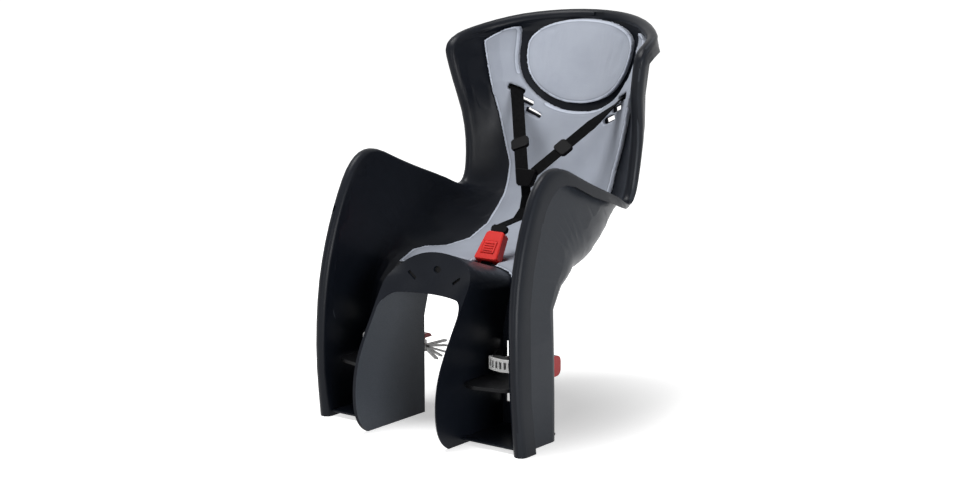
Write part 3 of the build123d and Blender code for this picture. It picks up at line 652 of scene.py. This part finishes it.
def swell(piece, rim):
    # the front sheet swells between its held rims, and no point moves further than the cap
    start = [v.co.copy() for v in piece.data.vertices]
    hold = piece.vertex_groups.new(name="hold")
    for vertex in piece.data.vertices:
        away = rim.find(vertex.co)[2]
        if away < padRun["hold"] or not isFront(vertex.normal):
            hold.add([vertex.index], 1.0, "REPLACE")
    cloth = piece.modifiers.new("swell", "CLOTH")
    cloth.settings.use_pressure = True
    cloth.settings.uniform_pressure_force = padRun["pressure"]
    cloth.settings.vertex_group_mass = "hold"
    cloth.settings.effector_weights.gravity = 0
    cloth.point_cache.frame_start = 1
    cloth.point_cache.frame_end = padRun["frames"]
    scene = bpy.context.scene
    for number in range(1, padRun["frames"] + 1):
        scene.frame_set(number)
        bpy.context.view_layer.update()
    bpy.ops.object.modifier_apply(modifier="swell")
    scene.frame_set(1)
    for vertex, before in zip(piece.data.vertices, start):
        move = vertex.co - before
        if move.length > padRun["cap"]:
            vertex.co = before + move.normalized() * padRun["cap"]
    piece.vertex_groups.clear()


def pressBorder(piece, outline):
    # the cover's finish reads how far a point is from the outline; the welded border is pressed in
    mark = piece.data.attributes.new("fromEdge", "FLOAT", "POINT")
    for vertex in piece.data.vertices:
        away = outline.find(vertex.co)[2]
        mark.data[vertex.index].value = min(1.0, away / padRun["reach"])
    for vertex in piece.data.vertices:
        sunk = mark.data[vertex.index].value * padRun["reach"] < padRun["border"]
        if sunk and isFront(vertex.normal):
            vertex.co -= vertex.normal * padRun["press"]


def makePad(nodeName, pieceName):
    piece = copyNode(nodeName, pieceName)
    edgePoints = frontEdgePoints(piece)
    evenSkin(piece, nodeName)
    swell(piece, edgeTree(edgePoints))
    pressBorder(piece, edgeTree([point for point in edgePoints if not nearSlot(point)]))
    pick(piece)
    bpy.ops.object.shade_smooth()
    useMaterial(piece, coverFinish)
    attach(piece, "seat")
    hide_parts(nodeName)
    print(pieceName, "has", len(piece.data.polygons), "faces")


makePad("back_cushion", "backCushion")
makePad("head_pad", "headPad")
print("cushions made")

# Floor, light and camera
stageSet = {"floor": -0.267, "reach": 30.0, "colour": (0.8, 0.8, 0.8, 1), "ambient": 0.14,
            "glowFrom": (0.3, 0.52), "glowTo": (0.42, 1.0)}  # the floor's own white grows with the distance
studioLamps = [
    {"name": "sideLamp", "place": (2.6, -1.7, 0.15), "aim": (0, -0.05, -0.05), "size": 1.2, "power": 60},
    {"name": "frontLamp", "place": (0.2, -3.2, 0.6), "aim": (0, 0, 0), "size": 1.2, "power": 16},
    {"name": "topLamp", "place": (-0.7, -0.7, 2.8), "aim": (0, 0, 0.1), "size": 1.5, "power": 85},
]
photoCamera = {"place": (2.07235, -2.80909, 0.69714), "aim": (0.0371, -0.1089, 0.0661),
               "lens": 73.354, "sensor": 36, "clipEnd": 200}


def seenWhite(tree, base):
    # base is the strength that lights the object; camera, metal and glass see 1, which is white
    path = addNode(tree, "ShaderNodeLightPath")
    seen = path.outputs["Is Camera Ray"]
    for other in ("Is Glossy Ray", "Is Transmission Ray"):
        either = addNode(tree, "ShaderNodeMath", operation="MAXIMUM")
        tree.links.new(seen, either.inputs[0])
        tree.links.new(path.outputs[other], either.inputs[1])
        seen = either.outputs["Value"]
    return spread(tree, seen, base, 1.0)


def makeFloor():
    deselectAll()
    bpy.ops.mesh.primitive_plane_add(size=stageSet["reach"], location=(0, 0, stageSet["floor"]))
    floor = bpy.context.object
    floor.name = "paleFloor"
    bpy.ops.object.transform_apply(location=True)
    material, tree, shader = newMaterial("paleFloorFinish", 0.9, 0.0)
    shader.inputs["Base Color"].default_value = stageSet["colour"]
    shader.inputs["Emission Color"].default_value = (1, 1, 1, 1)
    far = addNode(tree, "ShaderNodeVectorMath", operation="LENGTH")
    tree.links.new(objectCoords(tree), far.inputs[0])
    glow = spread(tree, far.outputs["Value"], *stageSet["glowTo"], *stageSet["glowFrom"])
    seen = addNode(tree, "ShaderNodeMath", operation="MULTIPLY")
    tree.links.new(glow, seen.inputs[0])
    tree.links.new(seenWhite(tree, 0.0), seen.inputs[1])
    tree.links.new(seen.outputs["Value"], shader.inputs["Emission Strength"])
    useMaterial(floor, material)


def makeWorld():
    world = bpy.data.worlds.new("studio")
    bpy.context.scene.world = world
    world.use_nodes = True
    tree = world.node_tree
    background = tree.nodes["Background"]
    background.inputs["Color"].default_value = (1, 1, 1, 1)
    tree.links.new(seenWhite(tree, stageSet["ambient"]), background.inputs["Strength"])


def aimFrom(thing, spot):
    look = Vector(spot["aim"]) - Vector(spot["place"])
    thing.rotation_euler = look.to_track_quat("-Z", "Y").to_euler()


def addLamp(spot):
    deselectAll()
    bpy.ops.object.light_add(type="AREA", location=spot["place"])
    lamp = bpy.context.object
    lamp.name = spot["name"]
    lamp.data.size = spot["size"]
    lamp.data.energy = spot["power"]
    aimFrom(lamp, spot)


def makeCamera():
    deselectAll()
    bpy.ops.object.camera_add(location=photoCamera["place"])
    camera = bpy.context.object
    camera.name = "photoCamera"
    camera.data.lens = photoCamera["lens"]
    camera.data.sensor_width = photoCamera["sensor"]
    camera.data.clip_end = photoCamera["clipEnd"]
    aimFrom(camera, photoCamera)
    bpy.context.scene.camera = camera


makeFloor()
makeWorld()
for spot in studioLamps:
    addLamp(spot)
makeCamera()
bpy.context.scene.view_settings.view_transform = "Standard"
print("scene ready")
